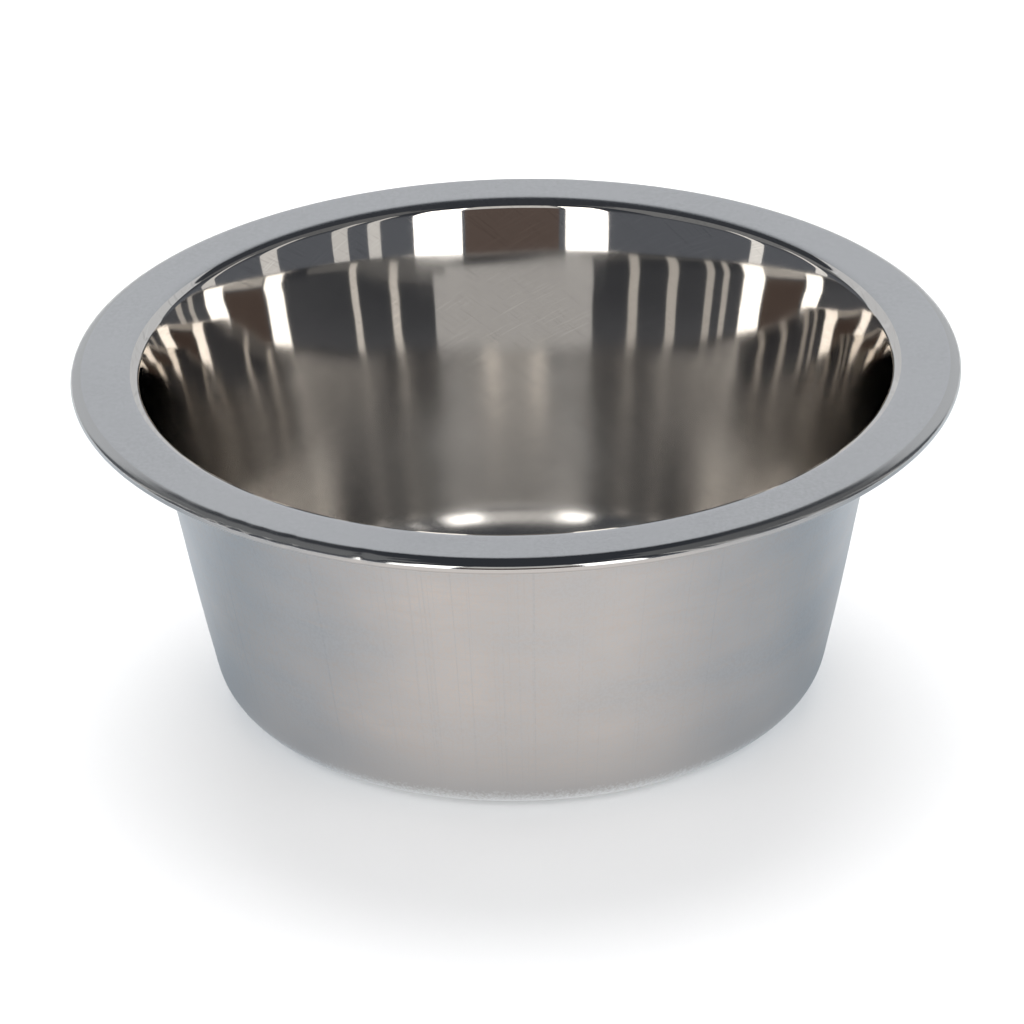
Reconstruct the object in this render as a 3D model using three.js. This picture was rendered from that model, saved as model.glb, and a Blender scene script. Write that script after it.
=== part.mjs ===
// A shaving bowl pressed from one disc of stainless sheet: a floor with a shallow raised centre
// panel, a rounded foot, a tapered wall that flares into a lip, a broad and nearly level rim, and
// an edge that bends down at a soft shoulder and is curled under into a hollow bead. Millimetres, +Z up, origin at the centre
// of the face it stands on.
import * as THREE from "three";

const SHEET = 0.5; // thickness of the metal
const HEIGHT = 47.6; // from the standing face to the top of the lip
const RIM_RADIUS = 60; // outside of the curled edge
const MOUTH_RADIUS = 53; // where the lip rolls over into the rim
const LIP_BROW = 4; // radius of the lip where it eases into the rim, on the polished face
const LIP_BROW_TURN = 25; // degrees
const FOOT_ROUND = 6.8; // outside radius of the round between floor and wall
const PANEL_RADIUS = 27; // raised centre panel of the floor
const PANEL_RISE = 0.7;
const PANEL_STEP = 3.5; // width of the slope round the panel
const LIP_ROUND = 1.15; // radius of the lip's tighter bend into the wall
const RIM_FALL = 0.6; // slope of the rim, degrees
const SHOULDER_RADIUS = 2.7; // the bend from the rim into the curl
const SHOULDER_TURN = 35; // degrees
const CURL_RADIUS = 0.74; // outside radius of the curl
const CURL_TURN = 227; // how far the edge turns on from the shoulder, degrees

const LIP_LEAN = 20.5; // the wall's lean from vertical, in degrees, where the lip runs into it
const FOOT_LEAN = 12.6; // and where the foot's round starts
const AROUND = 64; // facets round the axis
const WALL_STEPS = 10;
const LIP_STEPS = 3;
const FOOT_STEPS = 6;
const SHOULDER_STEPS = 2;
const CURL_STEPS = 10;
const radians = THREE.MathUtils.degToRad;

const brow = radians(LIP_BROW_TURN);
const lipDepth =
  LIP_BROW * (1 - Math.cos(brow)) + LIP_ROUND * (Math.cos(brow) - Math.sin(radians(LIP_LEAN)));
const footDepth = HEIGHT - SHEET - (FOOT_ROUND - SHEET) * (1 - Math.sin(radians(FOOT_LEAN)));

// The wall's lean at depths below the top of the lip: a flare, a straighter wall, a tucked foot.
const WALL_LEAN = [
  { depth: lipDepth, lean: LIP_LEAN },
  { depth: 6.6, lean: 14.5 },
  { depth: 12, lean: 13.9 },
  { depth: 22, lean: 10.6 },
  { depth: footDepth, lean: FOOT_LEAN },
];

// A point of the sheet's inner face: radius, height and heading, which is the angle in radians
// above level at which the face runs on from the axis towards the raw edge. At a crease the
// heading is the middle of the bend, and mitre lengthens the offset to the sheet's other face.
const station = (r, z, heading, mitre = 1) => ({ r, z, heading, mitre });

// Stations on an arc that starts after `from` and turns by `turn` about a centre at `radius`,
// on the left of the way forward if the turn is positive.
function arc(from, radius, turn, steps) {
  const side = Math.sign(turn);
  const centreR = from.r - side * radius * Math.sin(from.heading);
  const centreZ = from.z + side * radius * Math.cos(from.heading);
  return Array.from({ length: steps }, (_, i) => {
    const heading = from.heading + (turn * (i + 1)) / steps;
    return station(
      centreR + side * radius * Math.sin(heading),
      centreZ - side * radius * Math.cos(heading),
      heading,
    );
  });
}

function leanAt(depth) {
  const after = WALL_LEAN.findIndex((s) => s.depth >= depth);
  if (after <= 0) return WALL_LEAN.at(after).lean;
  const [a, b] = [WALL_LEAN[after - 1], WALL_LEAN[after]];
  return a.lean + ((b.lean - a.lean) * (depth - a.depth)) / (b.depth - a.depth);
}

// The wall is worked out downwards from the lip, and returned from the bottom up.
function wall(top) {
  const topDepth = HEIGHT - top.z;
  const step = (footDepth - topDepth) / WALL_STEPS;
  const stations = [top];
  for (let i = 1; i <= WALL_STEPS; i++) {
    const above = stations[0];
    const middle = radians(leanAt(topDepth + (i - 0.5) * step));
    const lean = radians(leanAt(topDepth + i * step));
    stations.unshift(
      station(above.r - step * Math.tan(middle), above.z - step, Math.PI / 2 - lean),
    );
  }
  return stations;
}

// The lip, from the top of the wall out to where the rim starts.
function lip() {
  const steep = Math.PI / 2 - radians(LIP_LEAN);
  const inward =
    LIP_BROW * Math.sin(brow) + LIP_ROUND * (Math.sin(steep) - Math.sin(brow));
  const start = station(MOUTH_RADIUS - inward, HEIGHT - lipDepth, steep);
  const bend = arc(start, LIP_ROUND, brow - steep, LIP_STEPS);
  const over = arc(bend.at(-1), LIP_BROW, -brow - radians(RIM_FALL), LIP_STEPS);
  return [start, ...bend, ...over];
}

function floorAndFoot(wallFoot) {
  const round = FOOT_ROUND - SHEET;
  const bend = arc(station(0, 0, 0), round, wallFoot.heading, FOOT_STEPS);
  const end = bend.at(-1);
  const flatR = wallFoot.r - end.r;
  const flatZ = wallFoot.z - end.z;
  const halfBend = Math.atan2(PANEL_RISE, PANEL_STEP) / 2;
  const mitre = 1 / Math.cos(halfBend);
  return [
    station(0, flatZ + PANEL_RISE, 0),
    station(PANEL_RADIUS - PANEL_STEP, flatZ + PANEL_RISE, -halfBend, mitre),
    station(PANEL_RADIUS, flatZ, -halfBend, mitre),
    station(flatR, flatZ, 0),
    ...bend.slice(0, -1).map((s) => station(s.r + flatR, s.z + flatZ, s.heading)),
  ];
}

function rimAndCurl(mouth) {
  const fall = -radians(RIM_FALL);
  const bend = Math.sin(radians(RIM_FALL + SHOULDER_TURN));
  const shoulderReach = SHOULDER_RADIUS * (bend + Math.sin(fall));
  const curlReach = CURL_RADIUS * (1 - bend);
  const width = RIM_RADIUS - shoulderReach - curlReach - mouth.r;
  const edge = station(mouth.r + width, mouth.z + width * Math.tan(fall), fall);
  const shoulder = arc(edge, SHOULDER_RADIUS, -radians(SHOULDER_TURN), SHOULDER_STEPS);
  const curl = arc(shoulder.at(-1), CURL_RADIUS, -radians(CURL_TURN), CURL_STEPS);
  return [edge, ...shoulder, ...curl];
}

// The inner face from the axis to the raw edge.
function innerFace() {
  const lipStations = lip();
  const wallStations = wall(lipStations[0]);
  return [
    ...floorAndFoot(wallStations[0]),
    ...wallStations,
    ...lipStations.slice(1),
    ...rimAndCurl(lipStations.at(-1)),
  ];
}

// The same stations on the sheet's other face, one thickness to the right of the way forward.
const outerFace = (inner) =>
  inner.map((s) =>
    station(
      s.r + SHEET * s.mitre * Math.sin(s.heading),
      s.z - SHEET * s.mitre * Math.cos(s.heading),
      s.heading,
    ),
  );

function pressedBowl() {
  const inner = innerFace();
  const outline = [...outerFace(inner), ...inner.reverse()];
  const points = outline.map((s) => new THREE.Vector2(s.r, s.z));
  const solid = new THREE.LatheGeometry(points, AROUND);
  return solid.rotateX(Math.PI / 2); // LatheGeometry turns about Y
}

const steel = new THREE.MeshStandardMaterial({
  name: "stainless_steel",
  color: 0xa9a9a8,
  metalness: 1,
  roughness: 0.25,
});

const bowl = new THREE.Mesh(pressedBowl(), steel);
bowl.name = "bowl_shell";

const shavingBowl = new THREE.Group();
shavingBowl.name = "shaving_bowl";
shavingBowl.add(bowl);

export default shavingBowl;
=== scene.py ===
"""A pressed stainless shaving bowl on a pale studio floor.

The bowl is one sheet of metal followed from the centre of its floor, up the wall, over the lip,
across the rim and round the curled edge, then offset by its thickness and turned about +Z.
Metres, +Z up, origin at the centre of the face it stands on.
"""
import math

import bpy
import numpy as np
from mathutils import Matrix, Vector, noise

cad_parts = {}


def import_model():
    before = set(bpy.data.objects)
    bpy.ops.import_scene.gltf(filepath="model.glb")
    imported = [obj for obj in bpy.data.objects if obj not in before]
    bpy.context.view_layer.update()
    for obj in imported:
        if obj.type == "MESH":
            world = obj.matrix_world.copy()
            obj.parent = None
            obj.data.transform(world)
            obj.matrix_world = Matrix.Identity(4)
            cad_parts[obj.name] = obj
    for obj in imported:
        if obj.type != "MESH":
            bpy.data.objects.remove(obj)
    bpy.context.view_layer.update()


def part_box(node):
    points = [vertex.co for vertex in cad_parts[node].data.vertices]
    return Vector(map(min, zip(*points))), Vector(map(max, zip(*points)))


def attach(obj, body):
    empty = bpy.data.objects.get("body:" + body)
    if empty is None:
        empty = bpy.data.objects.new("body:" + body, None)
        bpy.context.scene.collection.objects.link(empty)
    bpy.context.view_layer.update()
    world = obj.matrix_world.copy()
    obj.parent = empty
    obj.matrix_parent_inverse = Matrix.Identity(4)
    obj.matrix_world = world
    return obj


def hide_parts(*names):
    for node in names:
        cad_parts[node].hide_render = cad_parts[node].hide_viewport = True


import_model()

MM = 0.001
LOW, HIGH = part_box("bowl_shell")
RIM_RADIUS = HIGH.x
HEIGHT = HIGH.z

# The sheet.
SHEET = 0.5 * MM
MOUTH_RADIUS = 53.0 * MM
LIP_BROW = 4.0 * MM
LIP_BROW_TURN = math.radians(25)
LIP_ROUND = 1.15 * MM
LIP_LEAN = math.radians(20.5)
FOOT_ROUND = 6.8 * MM
FOOT_LEAN = math.radians(12.6)
PANEL_RADIUS = 27 * MM
PANEL_RISE = 0.7 * MM
PANEL_STEP = 3.5 * MM
RIM_FALL = math.radians(0.6)
SHOULDER_RADIUS = 2.7 * MM
SHOULDER_TURN = math.radians(35)
CURL_RADIUS = 0.74 * MM
CURL_TURN = math.radians(227)
# Points round the axis, and along each stretch of the sheet.
AROUND = 480
FLOOR_STEPS = 8
PANEL_STEPS = 12
RING_STEPS = 4
FOOT_STEPS = 16
WALL_STEPS = 70
LIP_STEPS = 10
BROW_STEPS = 8
RIM_STEPS = 8
SHOULDER_STEPS = 8
CURL_STEPS = 26
# The polish runs this many points up the lip, and this many points at the raw edge are burnished.
POLISHED_POINTS = 13
BURNISHED_POINTS = 32

LIP_DEPTH = LIP_BROW * (1 - math.cos(LIP_BROW_TURN)) + LIP_ROUND * (
    math.cos(LIP_BROW_TURN) - math.sin(LIP_LEAN)
)
FOOT_DEPTH = HEIGHT - SHEET - (FOOT_ROUND - SHEET) * (1 - math.sin(FOOT_LEAN))
# The wall's lean from vertical, in degrees, at depths below the top of the lip.
WALL_LEAN = (
    (LIP_DEPTH, math.degrees(LIP_LEAN)),
    (6.6 * MM, 14.5),
    (12 * MM, 13.9),
    (22 * MM, 10.6),
    (FOOT_DEPTH, math.degrees(FOOT_LEAN)),
)

# How far the rim is out of round, and how deep a faint wave runs in the wall.
OVAL = 0.06 * MM
WAVE = 0.03 * MM
# Small knocks and wrinkles of the rolled edge: degrees round from +X, width in degrees, depth.
# They fade out inwards to this radius, and press the edge down by this share of their depth.
KNOCK_REACH = 56 * MM
KNOCK_DROP = 0.4
KNOCKS = (
    (222.0, 1.5, 0.07 * MM),
    (229.0, 0.9, 0.1 * MM),
    (232.8, 1.0, 0.14 * MM),
    (236.2, 0.9, 0.12 * MM),
    (240.2, 0.8, 0.26 * MM),
    (243.5, 1.3, 0.06 * MM),
    (250.3, 0.8, 0.2 * MM),
    (253.0, 1.2, -0.05 * MM),
    (298, 2.2, 0.05 * MM),
    (312, 3.0, 0.08 * MM),
)

# Material slots of the bowl, in order.
INSIDE, RIM, BEAD, OUTSIDE = range(4)


# ---------------------------------------------------------------- the sheet's path


def arc(r, z, heading, radius, turn, steps):
    """Points after (r, z) on an arc that starts at heading and turns left if turn is positive."""
    side = math.copysign(1, turn)
    centre_r = r - side * radius * math.sin(heading)
    centre_z = z + side * radius * math.cos(heading)
    points = []
    for i in range(1, steps + 1):
        h = heading + turn * i / steps
        points.append(
            (
                centre_r + side * radius * math.sin(h),
                centre_z - side * radius * math.cos(h),
                h,
            )
        )
    return points


def lean_at(depth):
    """The wall's lean in radians, changing evenly from one given station to the next."""
    for (a, lean_a), (b, lean_b) in zip(WALL_LEAN, WALL_LEAN[1:]):
        if depth <= b:
            break
    t = (depth - a) / (b - a)
    return math.radians(lean_a + (lean_b - lean_a) * t)


def wall(r, z):
    """The wall from its top point down to the foot, returned from the bottom up."""
    top = HEIGHT - z
    step = (FOOT_DEPTH - top) / WALL_STEPS
    points = [(r, z, math.pi / 2 - LIP_LEAN)]
    for i in range(1, WALL_STEPS + 1):
        r -= step * math.tan(lean_at(top + (i - 0.5) * step))
        z -= step
        points.append((r, z, math.pi / 2 - lean_at(top + i * step)))
    return points[::-1]


def lip():
    """The round from the top of the wall up to the mouth, easing as it meets the rim."""
    steep = math.pi / 2 - LIP_LEAN
    brow, tight = LIP_BROW_TURN, steep - LIP_BROW_TURN
    inward = LIP_BROW * math.sin(brow) + LIP_ROUND * (math.sin(steep) - math.sin(brow))
    start = (MOUTH_RADIUS - inward, HEIGHT - LIP_DEPTH, steep)
    round_points = arc(*start, LIP_ROUND, -tight, LIP_STEPS)
    brow_points = arc(*round_points[-1], LIP_BROW, -brow - RIM_FALL, BROW_STEPS)
    return [start, *round_points, *brow_points]


def floor_and_foot(foot_r, foot_z):
    """The floor with its raised centre panel, and the round that ends where the wall starts."""
    inner = FOOT_ROUND - SHEET
    turn = math.pi / 2 - FOOT_LEAN
    flat_r = foot_r - inner * math.sin(turn)
    flat_z = foot_z - inner * (1 - math.cos(turn))
    top = flat_z + PANEL_RISE
    level = 0.86 * PANEL_RADIUS
    points = [(level * i / FLOOR_STEPS, top, 0) for i in range(FLOOR_STEPS + 1)]
    for i in range(1, PANEL_STEPS + 1):
        t = i / PANEL_STEPS
        r = PANEL_RADIUS - PANEL_STEP * (1 - t)
        drop = PANEL_RISE * (1 - math.cos(math.pi * t)) / 2
        slope = PANEL_RISE * math.pi / 2 * math.sin(math.pi * t) / PANEL_STEP
        points.append((r, top - drop, -math.atan(slope)))
    ring = (flat_r - PANEL_RADIUS) / RING_STEPS
    points += [(PANEL_RADIUS + ring * i, flat_z, 0) for i in range(1, RING_STEPS + 1)]
    return points + arc(flat_r, flat_z, 0, inner, turn, FOOT_STEPS)[:-1]


def rim_and_curl(mouth_r, mouth_z):
    """The rim's slope out from the mouth and the edge turned under it."""
    bend = RIM_FALL + SHOULDER_TURN
    shoulder_reach = SHOULDER_RADIUS * (math.sin(bend) - math.sin(RIM_FALL))
    curl_reach = CURL_RADIUS * (1 - math.sin(bend))
    width = RIM_RADIUS - shoulder_reach - curl_reach - mouth_r
    points = []
    for i in range(1, RIM_STEPS + 1):
        out = width * i / RIM_STEPS
        points.append((mouth_r + out, mouth_z - out * math.tan(RIM_FALL), -RIM_FALL))
    shoulder = arc(*points[-1], SHOULDER_RADIUS, -SHOULDER_TURN, SHOULDER_STEPS)
    return points + shoulder + arc(*shoulder[-1], CURL_RADIUS, -CURL_TURN, CURL_STEPS)


def sheet_path():
    """The inner face from the axis to the raw edge, with the material slot of each point."""
    lip_points = lip()
    wall_points = wall(*lip_points[0][:2])
    foot_points = floor_and_foot(*wall_points[0][:2])
    rim_points = rim_and_curl(*lip_points[-1][:2])
    inner = foot_points + wall_points + lip_points[1:] + rim_points
    polished = len(foot_points) + len(wall_points) + POLISHED_POINTS
    satin = len(inner) - BURNISHED_POINTS
    slots = [INSIDE if i < polished else RIM if i < satin else BEAD for i in range(len(inner))]
    return inner, slots


def outline():
    """The sheet's closed section: out along its outer face, back along its inner face."""
    inner, inner_slots = sheet_path()
    outer = [
        (r + SHEET * math.sin(h), z - SHEET * math.cos(h), h - math.pi)
        for r, z, h in inner
    ]
    outer_slots = [BEAD if s == BEAD else OUTSIDE for s in inner_slots]
    return outer + inner[::-1], outer_slots + inner_slots[::-1]


# ---------------------------------------------------------------- the bowl's mesh


def unevenness(r, z, theta):
    """How far a point of the pressed sheet lies outside and below its true place."""
    up = z / HEIGHT
    edge = max(0.0, (r - KNOCK_REACH) / (RIM_RADIUS - KNOCK_REACH)) ** 2
    degrees = math.degrees(theta)
    knocks = sum(depth * math.exp(-(((degrees - at) / width) ** 2)) for at, width, depth in KNOCKS)
    oval = OVAL * math.cos(2 * theta + 0.6) * up
    place = Vector((2.2 * math.cos(theta), 2.2 * math.sin(theta), 9 * up))
    wave = WAVE * up * noise.noise(place)
    return oval + wave - edge * knocks, KNOCK_DROP * edge * knocks


def turned(points, slots):
    """The outline turned about +Z, with a grain vector of direction and length along the sheet.

    The first and last points lie on the axis."""
    rings = []
    verts = []
    length = 0.0
    grain = []
    for i, (r, z, _) in enumerate(points):
        if i:
            length += math.dist((r, z), points[i - 1][:2])
        if r < 1e-6:
            rings.append([len(verts)] * AROUND)
            verts.append((0, 0, z))
            grain.append((0, 0, length))
            continue
        ring = []
        for k in range(AROUND):
            theta = 2 * math.pi * k / AROUND
            shift, drop = unevenness(r, z, theta)
            out = r + shift
            ring.append(len(verts))
            verts.append((out * math.cos(theta), out * math.sin(theta), z - drop))
            grain.append((math.cos(theta), math.sin(theta), length))
        rings.append(ring)
    faces = []
    face_slots = []
    for i in range(len(rings) - 1):
        low, up = rings[i], rings[i + 1]
        for k in range(AROUND):
            m = (k + 1) % AROUND
            corners = list(dict.fromkeys((low[k], low[m], up[m], up[k])))
            faces.append(corners)
            face_slots.append(max(slots[i], slots[i + 1]))
    return verts, faces, face_slots, grain


def mesh_object(name, verts, faces, materials, face_slots=None, smooth=False):
    mesh = bpy.data.meshes.new(name)
    mesh.from_pydata(verts, [], faces)
    for m in materials:
        mesh.materials.append(m)
    if face_slots:
        mesh.polygons.foreach_set("material_index", face_slots)
    if smooth:
        mesh.polygons.foreach_set("use_smooth", [True] * len(faces))
    mesh.update()
    obj = bpy.data.objects.new(name, mesh)
    bpy.context.scene.collection.objects.link(obj)
    return obj


def make_bowl(materials):
    points, slots = outline()
    verts, faces, face_slots, grain = turned(points, slots)
    obj = mesh_object("bowl", verts, faces, materials, face_slots, smooth=True)
    field = obj.data.attributes.new("grain", "FLOAT_VECTOR", "POINT")
    field.data.foreach_set("vector", np.array(grain, np.float32).ravel())
    return obj


# ---------------------------------------------------------------- materials


def new_material(name):
    material = bpy.data.materials.new(name)
    material.use_nodes = True
    tree = material.node_tree
    return material, tree, tree.nodes["Principled BSDF"]


def grain_noise(tree, around, along, detail=2.0):
    """Noise that runs `around` times as fine round the axis and `along` per metre of sheet."""
    place = tree.nodes.new("ShaderNodeAttribute")
    place.attribute_name = "grain"
    scale = tree.nodes.new("ShaderNodeVectorMath")
    scale.operation = "MULTIPLY"
    scale.inputs[1].default_value = (around, around, along)
    tree.links.new(place.outputs["Vector"], scale.inputs[0])
    pattern = tree.nodes.new("ShaderNodeTexNoise")
    pattern.inputs["Scale"].default_value = 1.0
    pattern.inputs["Detail"].default_value = detail
    tree.links.new(scale.outputs[0], pattern.inputs["Vector"])
    return pattern.outputs["Fac"]


def remap(tree, value, low, high):
    """value from 0.3..0.7, where most noise lies, to low..high."""
    node = tree.nodes.new("ShaderNodeMapRange")
    node.inputs["From Min"].default_value = 0.3
    node.inputs["From Max"].default_value = 0.7
    node.inputs["To Min"].default_value = low
    node.inputs["To Max"].default_value = high
    tree.links.new(value, node.inputs["Value"])
    return node.outputs["Result"]


def height(tree):
    """Height above the table."""
    place = tree.nodes.new("ShaderNodeTexCoord")
    split = tree.nodes.new("ShaderNodeSeparateXYZ")
    tree.links.new(place.outputs["Object"], split.inputs[0])
    return split.outputs["Z"]


def rougher_down(tree, roughness):
    """Roughness that grows down the wall, where the polishing wheel reached less."""
    down = tree.nodes.new("ShaderNodeMapRange")
    down.interpolation_type = "SMOOTHSTEP"
    down.inputs["From Min"].default_value = HEIGHT - 16 * MM
    down.inputs["From Max"].default_value = HEIGHT - 36 * MM
    down.inputs["To Min"].default_value = 0.5
    down.inputs["To Max"].default_value = 2.0
    tree.links.new(height(tree), down.inputs["Value"])
    product = tree.nodes.new("ShaderNodeMath")
    product.operation = "MULTIPLY"
    tree.links.new(roughness, product.inputs[0])
    tree.links.new(down.outputs["Result"], product.inputs[1])
    return product.outputs[0]


def mixed(tree, factor, low, high):
    """A colour between low and high, each a colour or another node's output."""
    node = tree.nodes.new("ShaderNodeMix")
    node.data_type = "RGBA"
    tree.links.new(factor, node.inputs["Factor"])
    colour_a, colour_b = node.inputs[6], node.inputs[7]
    for socket, value in ((colour_a, low), (colour_b, high)):
        if isinstance(value, tuple):
            socket.default_value = (*value, 1)
        else:
            tree.links.new(value, socket)
    return node.outputs[2]


def toned(colour, share):
    """The colour made darker by a share below 1 or lighter by one above 1."""
    return tuple(c * share for c in colour)


def speckle(tree, scale):
    """Fine even grain, in grains per metre."""
    place = tree.nodes.new("ShaderNodeTexCoord")
    pattern = tree.nodes.new("ShaderNodeTexNoise")
    pattern.inputs["Scale"].default_value = scale
    tree.links.new(place.outputs["Object"], pattern.inputs["Vector"])
    return remap(tree, pattern.outputs["Fac"], 0, 1)


def scratches(tree, slant):
    """1 on thin hand-polishing scratches, slanted by that many degrees across the far wall."""
    place = tree.nodes.new("ShaderNodeTexCoord")
    turn = tree.nodes.new("ShaderNodeMapping")
    turn.vector_type = "TEXTURE"
    turn.inputs["Rotation"].default_value = (0, math.radians(slant), 0)
    turn.inputs["Scale"].default_value = (1 / 170, 1 / 170, 1 / 5500)
    pattern = tree.nodes.new("ShaderNodeTexNoise")
    pattern.inputs["Scale"].default_value = 1.0
    tree.links.new(place.outputs["Object"], turn.inputs["Vector"])
    tree.links.new(turn.outputs["Vector"], pattern.inputs["Vector"])
    lines = tree.nodes.new("ShaderNodeMapRange")
    lines.inputs["From Min"].default_value = 0.57
    lines.inputs["From Max"].default_value = 0.72
    tree.links.new(pattern.outputs["Fac"], lines.inputs["Value"])
    return lines.outputs["Result"]


def patchy(tree, least, most):
    """Roughness that varies in patches a few centimetres across."""
    return remap(tree, grain_noise(tree, 3, 60), least, most)


def steel(name, colour, along_wall=0.0):
    """Bare steel. along_wall stretches the blur of its reflections up and down the wall."""
    material, tree, shader = new_material(name)
    shader.inputs["Metallic"].default_value = 1
    shader.inputs["Base Color"].default_value = (*colour, 1)
    if along_wall:
        shader.inputs["Anisotropic"].default_value = along_wall
        shader.inputs["Anisotropic Rotation"].default_value = 0.25
        tangent = tree.nodes.new("ShaderNodeTangent")
        tangent.direction_type = "RADIAL"
        tangent.axis = "Z"
        tree.links.new(tangent.outputs["Tangent"], shader.inputs["Tangent"])
    return material, tree, shader


def polished_inside():
    colour = (0.70, 0.67, 0.635)
    material, tree, shader = steel("polished_inside", colour, along_wall=0.8)
    tree.links.new(rougher_down(tree, patchy(tree, 0.08, 0.13)), shader.inputs["Roughness"])
    once = mixed(tree, scratches(tree, 38), colour, toned(colour, 0.88))
    twice = mixed(tree, scratches(tree, -28), once, toned(colour, 1.1))
    tree.links.new(twice, shader.inputs["Base Color"])
    return material


def satin_rim():
    colour = (0.585, 0.585, 0.588)
    material, tree, shader = steel("satin_rim", colour, along_wall=0.3)
    tree.links.new(patchy(tree, 0.17, 0.23), shader.inputs["Roughness"])
    clouds = remap(tree, grain_noise(tree, 4, 30), 0, 1)
    cloudy = mixed(tree, clouds, toned(colour, 0.94), colour)
    grainy = mixed(tree, speckle(tree, 2200), cloudy, toned(colour, 1.03))
    tree.links.new(grainy, shader.inputs["Base Color"])
    return material


def nearing(tree, value, start, full):
    """0 while value is at or above start, growing evenly to 1 at full and below."""
    edge = tree.nodes.new("ShaderNodeMapRange")
    edge.inputs["From Min"].default_value = start
    edge.inputs["From Max"].default_value = full
    tree.links.new(value, edge.inputs["Value"])
    return edge.outputs["Result"]


def frost(tree):
    """1 along the foot, where the polish never reached, with a ragged upper edge."""
    ragged = remap(tree, grain_noise(tree, 110, 1900, 6), -0.8 * MM, 0.8 * MM)
    shifted = tree.nodes.new("ShaderNodeMath")
    shifted.operation = "ADD"
    tree.links.new(height(tree), shifted.inputs[0])
    tree.links.new(ragged, shifted.inputs[1])
    return nearing(tree, shifted.outputs[0], 3.7 * MM, 1.5 * MM)


def satin_outside():
    """Brushed steel with soft smears, faint lines down the wall, fine grain, painted shade
    darkening the wall towards the foot, and a frosted foot.
    """
    warm, cool, frosted = (0.61, 0.575, 0.55), (0.5, 0.515, 0.53), (0.73, 0.78, 0.81)
    material, tree, shader = steel("satin_outside", warm, along_wall=0.6)
    smears = remap(tree, grain_noise(tree, 2.4, 110, 4), -0.1, 1)
    lines = remap(tree, grain_noise(tree, 150, 9), -1.6, 0.6)
    wiping = remap(tree, grain_noise(tree, 9, 1400), -0.6, 0.7)
    grain = remap(tree, speckle(tree, 2600), 0, 0.6)
    # Painted shade: the lower wall is darkened towards the foot, as if shaded there.
    painted_foot_shade = nearing(tree, height(tree), 13 * MM, 2 * MM)
    frosting = frost(tree)
    colour = mixed(tree, smears, warm, cool)
    colour = mixed(tree, lines, colour, toned(cool, 0.95))
    colour = mixed(tree, wiping, colour, toned(warm, 0.93))
    colour = mixed(tree, grain, colour, toned(cool, 1.1))
    colour = mixed(tree, painted_foot_shade, colour, toned(cool, 0.9))
    colour = mixed(tree, frosting, colour, frosted)
    tree.links.new(colour, shader.inputs["Base Color"])
    rougher = tree.nodes.new("ShaderNodeMath")
    rougher.operation = "MULTIPLY_ADD"
    rougher.inputs[1].default_value = 0.15
    tree.links.new(frosting, rougher.inputs[0])
    tree.links.new(patchy(tree, 0.34, 0.42), rougher.inputs[2])
    tree.links.new(rougher.outputs[0], shader.inputs["Roughness"])
    return material


def burnished_bead():
    """The rolled edge: rubbed bright along its front, duller to either side."""
    material, tree, shader = steel("burnished_bead", (0.56, 0.555, 0.545))
    place = tree.nodes.new("ShaderNodeTexCoord")
    from_bright = tree.nodes.new("ShaderNodeVectorMath")
    from_bright.operation = "DISTANCE"
    from_bright.inputs[1].default_value = (3 * MM, -RIM_RADIUS, HEIGHT)
    tree.links.new(place.outputs["Object"], from_bright.inputs[0])
    dull = tree.nodes.new("ShaderNodeMapRange")
    dull.interpolation_type = "SMOOTHSTEP"
    dull.inputs["From Min"].default_value = 12 * MM
    dull.inputs["From Max"].default_value = 30 * MM
    dull.inputs["To Min"].default_value = 0.06
    dull.inputs["To Max"].default_value = 0.2
    tree.links.new(from_bright.outputs["Value"], dull.inputs["Value"])
    tree.links.new(dull.outputs["Result"], shader.inputs["Roughness"])
    return material


def steels():
    """The bowl's finishes in slot order."""
    return [polished_inside(), satin_rim(), burnished_bead(), satin_outside()]


def plain(name, colour, roughness):
    material, _, shader = new_material(name)
    shader.inputs["Base Color"].default_value = (*colour, 1)
    shader.inputs["Roughness"].default_value = roughness
    shader.inputs["Specular IOR Level"].default_value = 0.0
    return material


def glowing(name, colour, strength):
    material = bpy.data.materials.new(name)
    material.use_nodes = True
    tree = material.node_tree
    tree.nodes.clear()
    out = tree.nodes.new("ShaderNodeOutputMaterial")
    glow = tree.nodes.new("ShaderNodeEmission")
    glow.inputs["Color"].default_value = (*colour, 1)
    glow.inputs["Strength"].default_value = strength
    tree.links.new(glow.outputs[0], out.inputs["Surface"])
    return material


# ---------------------------------------------------------------- studio

FLOOR_TONE = (0.86, 0.86, 0.86)
FLOOR_REACH = 6.0
BACKDROP_REACH = 2.2
BACKDROP_TOP = 4.0
GLOW_REACH = 0.6
GLOW_LIFT = 0.02 * MM
CARD_DISTANCE = 2.4
RING_LIGHTS = 8
RING_REACH = 1.8
RING_HEIGHT = 1.1
# The glow's tone, standing in for the table seen in the steel, from behind the bowl (0) to in
# front of it (1).
TABLE_TONES = (
    (0.01, (0.95, 0.97, 1.0)),
    (0.3, (0.8, 0.86, 0.92)),
    (0.55, (0.55, 0.6, 0.65)),
    (0.8, (0.73, 0.74, 0.76)),
    (0.99, (0.99, 0.94, 0.91)),
)
ROOM_WALL = (0.12, 0.13, 0.15)
ROOM_CEILING = (0.045, 0.05, 0.06)

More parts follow.
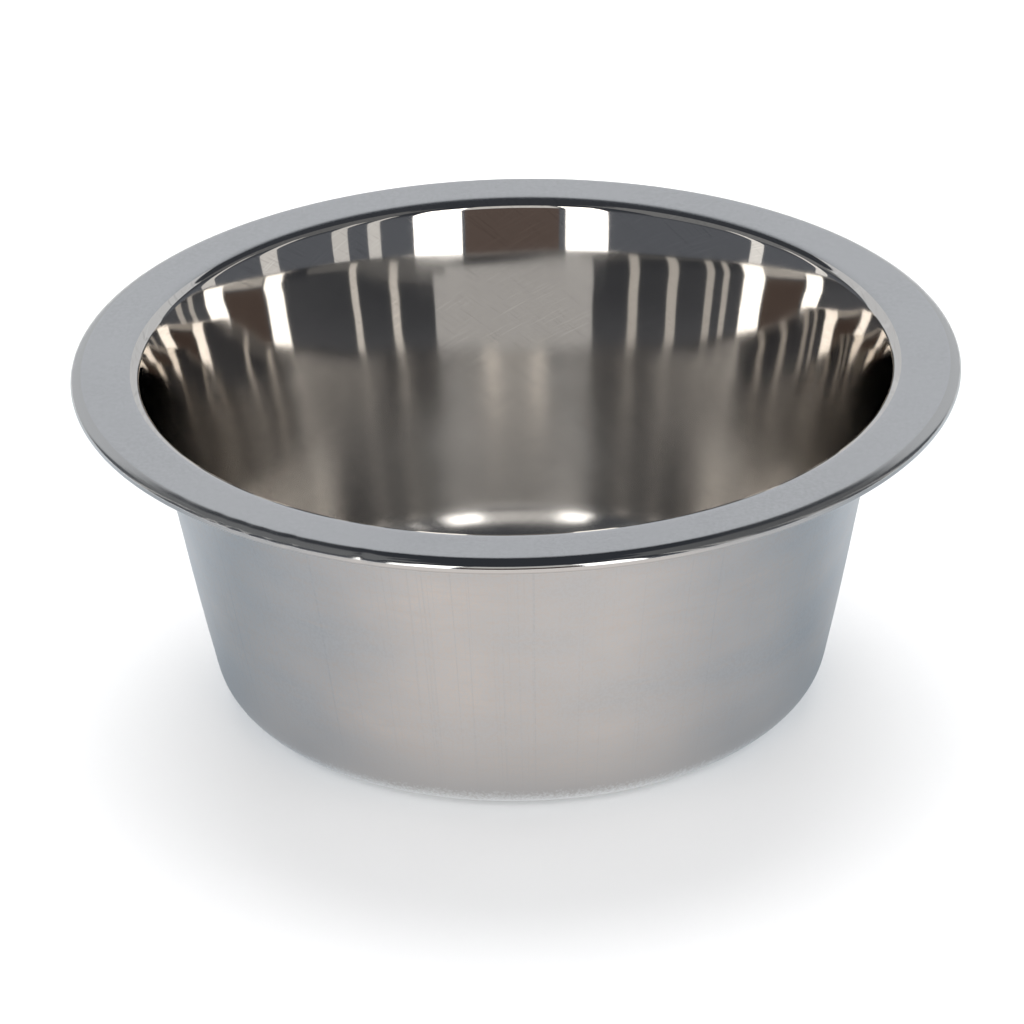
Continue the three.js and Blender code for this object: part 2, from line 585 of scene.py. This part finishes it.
# What the steel reflects: name, degrees to the camera's right of the camera, half width, lowest
# and highest elevation, colour, strength. The back cards stand behind the bowl.
WHITE = (1.0, 0.99, 0.97)
GREY = (0.93, 0.96, 1.0)
BROWN = (0.28, 0.215, 0.19)
CARDS = (
    ("window_right", 23, 7.5, 1, 50, WHITE, 3.0),
    ("window_left", -23, 6.5, 1, 50, WHITE, 3.0),
    ("strip_43", 43, 2.0, 2, 48, WHITE, 0.75),
    ("strip_54", 54, 2.6, 2, 48, WHITE, 0.7),
    ("strip_79", 79, 3.2, 2, 48, WHITE, 0.75),
    ("strip_104", 104, 3.0, 2, 48, WHITE, 0.75),
    ("strip_left_79", -79, 2.3, 2, 48, WHITE, 1.0),
    ("strip_left_105", -105, 2.6, 2, 48, WHITE, 1.0),
    ("brown_wall", 0, 14.5, 0, 24, BROWN, 0.42),
    ("overhead_soft", 0, 15, 26, 56, WHITE, 0.7),
    ("left_soft", -92, 45, 32, 76, GREY, 0.22),
    ("right_soft", 92, 45, 38, 76, GREY, 0.16),
)
BACK_CARDS = (
    ("back_wall", 180, 50, 2, 42, GREY, 0.71),
)


def reflected_only(obj):
    obj.visible_camera = False
    obj.visible_diffuse = False
    obj.visible_shadow = False


def square(reach):
    return [(-reach, -reach, 0), (reach, -reach, 0), (reach, reach, 0), (-reach, reach, 0)]


def card(name, azimuth, half_width, low, high, colour, strength):
    """A glowing card facing the bowl, seen only in reflections."""
    steps = 8
    verts = []
    for i in range(steps + 1):
        a = math.radians(azimuth + half_width * (2 * i / steps - 1))
        for e in (low, high):
            up = math.radians(e)
            verts.append(
                (
                    CARD_DISTANCE * math.cos(up) * math.sin(a),
                    -CARD_DISTANCE * math.cos(up) * math.cos(a),
                    CARD_DISTANCE * math.sin(up),
                )
            )
    faces = [(2 * i, 2 * i + 1, 2 * i + 3, 2 * i + 2) for i in range(steps)]
    obj = mesh_object(name, verts, faces, [glowing(name, colour, strength)])
    reflected_only(obj)


def floor():
    pale = plain("pale_floor", FLOOR_TONE, 1.0)
    obj = mesh_object("studio_floor", square(FLOOR_REACH), [(0, 1, 2, 3)], [pale])
    obj.location.z = LOW.z


def backdrop():
    """A white studio wall behind the far edge of the lit floor, seen only by the camera."""
    steps = 64
    verts = []
    for i in range(steps):
        a = 2 * math.pi * i / steps
        x, y = BACKDROP_REACH * math.cos(a), BACKDROP_REACH * math.sin(a)
        verts += [(x, y, LOW.z), (x, y, BACKDROP_TOP)]
    count = len(verts)
    faces = [(i, (i + 2) % count, (i + 3) % count, i + 1) for i in range(0, count, 2)]
    obj = mesh_object("backdrop", verts, faces, [glowing("backdrop_white", (1, 1, 1), 1.0)])
    obj.visible_diffuse = False
    obj.visible_glossy = False
    obj.visible_shadow = False


def table_glow():
    """A glowing sheet seen only in reflections, standing in for the table: warm in front,
    blue-grey beside, and dimmer close by as a painted shadow of the bowl.
    """
    material = glowing("table_glow", (1, 1, 1), 1.0)
    tree = material.node_tree
    place = tree.nodes.new("ShaderNodeTexCoord")
    direction = tree.nodes.new("ShaderNodeVectorMath")
    direction.operation = "NORMALIZE"
    split = tree.nodes.new("ShaderNodeSeparateXYZ")
    forward = tree.nodes.new("ShaderNodeMapRange")
    forward.inputs["From Min"].default_value = 1
    forward.inputs["From Max"].default_value = -1
    ramp = tree.nodes.new("ShaderNodeValToRGB")
    ramp.color_ramp.interpolation = "EASE"
    for position, colour in TABLE_TONES:
        stop = ramp.color_ramp.elements.new(position)
        stop.color = (*colour, 1)
    ramp.color_ramp.elements.remove(ramp.color_ramp.elements[0])
    ramp.color_ramp.elements.remove(ramp.color_ramp.elements[-1])
    tree.links.new(place.outputs["Object"], direction.inputs[0])
    tree.links.new(direction.outputs[0], split.inputs[0])
    tree.links.new(split.outputs["Y"], forward.inputs["Value"])
    tree.links.new(forward.outputs["Result"], ramp.inputs["Fac"])
    tree.links.new(ramp.outputs["Color"], tree.nodes["Emission"].inputs["Color"])
    size = tree.nodes.new("ShaderNodeVectorMath")
    size.operation = "LENGTH"
    # Painted shadow: the glow dims close to the bowl, where the bowl shades the table.
    painted_bowl_shadow = tree.nodes.new("ShaderNodeMapRange")
    painted_bowl_shadow.interpolation_type = "SMOOTHSTEP"
    painted_bowl_shadow.inputs["From Min"].default_value = 42 * MM
    painted_bowl_shadow.inputs["From Max"].default_value = 88 * MM
    painted_bowl_shadow.inputs["To Min"].default_value = 0.80
    painted_bowl_shadow.inputs["To Max"].default_value = 1.0
    tree.links.new(place.outputs["Object"], size.inputs[0])
    tree.links.new(size.outputs["Value"], painted_bowl_shadow.inputs["Value"])
    tree.links.new(painted_bowl_shadow.outputs["Result"], tree.nodes["Emission"].inputs["Strength"])
    obj = mesh_object("table_glow", square(GLOW_REACH), [(0, 1, 2, 3)], [material])
    obj.location.z = LOW.z + GLOW_LIFT
    reflected_only(obj)


def soft_light(name, place, size, power):
    """A large lamp aimed at the bowl that lights the floor without showing in the steel."""
    lamp = bpy.data.lights.new(name, "AREA")
    lamp.shape = "DISK"
    lamp.size = size
    lamp.energy = power
    obj = bpy.data.objects.new(name, lamp)
    obj.location = place
    obj.rotation_euler = (-Vector(place)).to_track_quat("-Z", "Y").to_euler()
    obj.visible_glossy = False
    bpy.context.scene.collection.objects.link(obj)


def world():
    """A dim room: dusky walls under a darker ceiling."""
    room = bpy.data.worlds.new("studio")
    room.use_nodes = True
    tree = room.node_tree
    place = tree.nodes.new("ShaderNodeTexCoord")
    split = tree.nodes.new("ShaderNodeSeparateXYZ")
    ramp = tree.nodes.new("ShaderNodeValToRGB")
    ramp.color_ramp.elements[0].position = 0.25
    ramp.color_ramp.elements[0].color = (*ROOM_WALL, 1)
    ramp.color_ramp.elements[1].position = 0.6
    ramp.color_ramp.elements[1].color = (*ROOM_CEILING, 1)
    tree.links.new(place.outputs["Generated"], split.inputs[0])
    tree.links.new(split.outputs["Z"], ramp.inputs["Fac"])
    tree.links.new(ramp.outputs["Color"], tree.nodes["Background"].inputs["Color"])
    bpy.context.scene.world = room


def studio():
    world()
    floor()
    backdrop()
    table_glow()
    for row in CARDS + BACK_CARDS:
        card(*row)
    soft_light("overhead", (0.0, 1.0, 1.8), 2.0, 30)
    for i in range(RING_LIGHTS):
        turn = 2 * math.pi * (i + 0.5) / RING_LIGHTS
        place = (RING_REACH * math.sin(turn), -RING_REACH * math.cos(turn), RING_HEIGHT)
        soft_light(f"ring_{i}", place, 1.4, 13)


# ---------------------------------------------------------------- camera


CAMERA_ELEVATION = math.radians(25.85)
CAMERA_DISTANCE = 1.114
CAMERA_ROLL = math.radians(-1.22)
CAMERA_LENS = 290.5
# The camera aims this far to the side of the axis, and this far below the plane of the rim.
AIM_ACROSS = -0.9 * MM
AIM_DROP = 22.65 * MM
RIM_PLANE = HEIGHT - 0.4 * MM


def camera():
    back = CAMERA_DISTANCE * math.cos(CAMERA_ELEVATION)
    rise = CAMERA_DISTANCE * math.sin(CAMERA_ELEVATION)
    place = Vector((0, -back, RIM_PLANE + rise))
    aim = Vector((AIM_ACROSS, 0, RIM_PLANE - AIM_DROP))
    data = bpy.data.cameras.new("camera")
    data.sensor_width = 36
    data.lens = CAMERA_LENS
    data.clip_start = 0.05
    obj = bpy.data.objects.new("camera", data)
    turn = (aim - place).to_track_quat("-Z", "Y").to_matrix().to_4x4()
    roll = Matrix.Rotation(CAMERA_ROLL, 4, "Z")
    obj.matrix_world = Matrix.Translation(place) @ turn @ roll
    bpy.context.scene.collection.objects.link(obj)
    bpy.context.scene.camera = obj


bowl = make_bowl(steels())
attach(bowl, "root")
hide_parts("bowl_shell")
studio()
camera()
bpy.context.scene.view_settings.view_transform = "Standard"
bpy.context.view_layer.update()
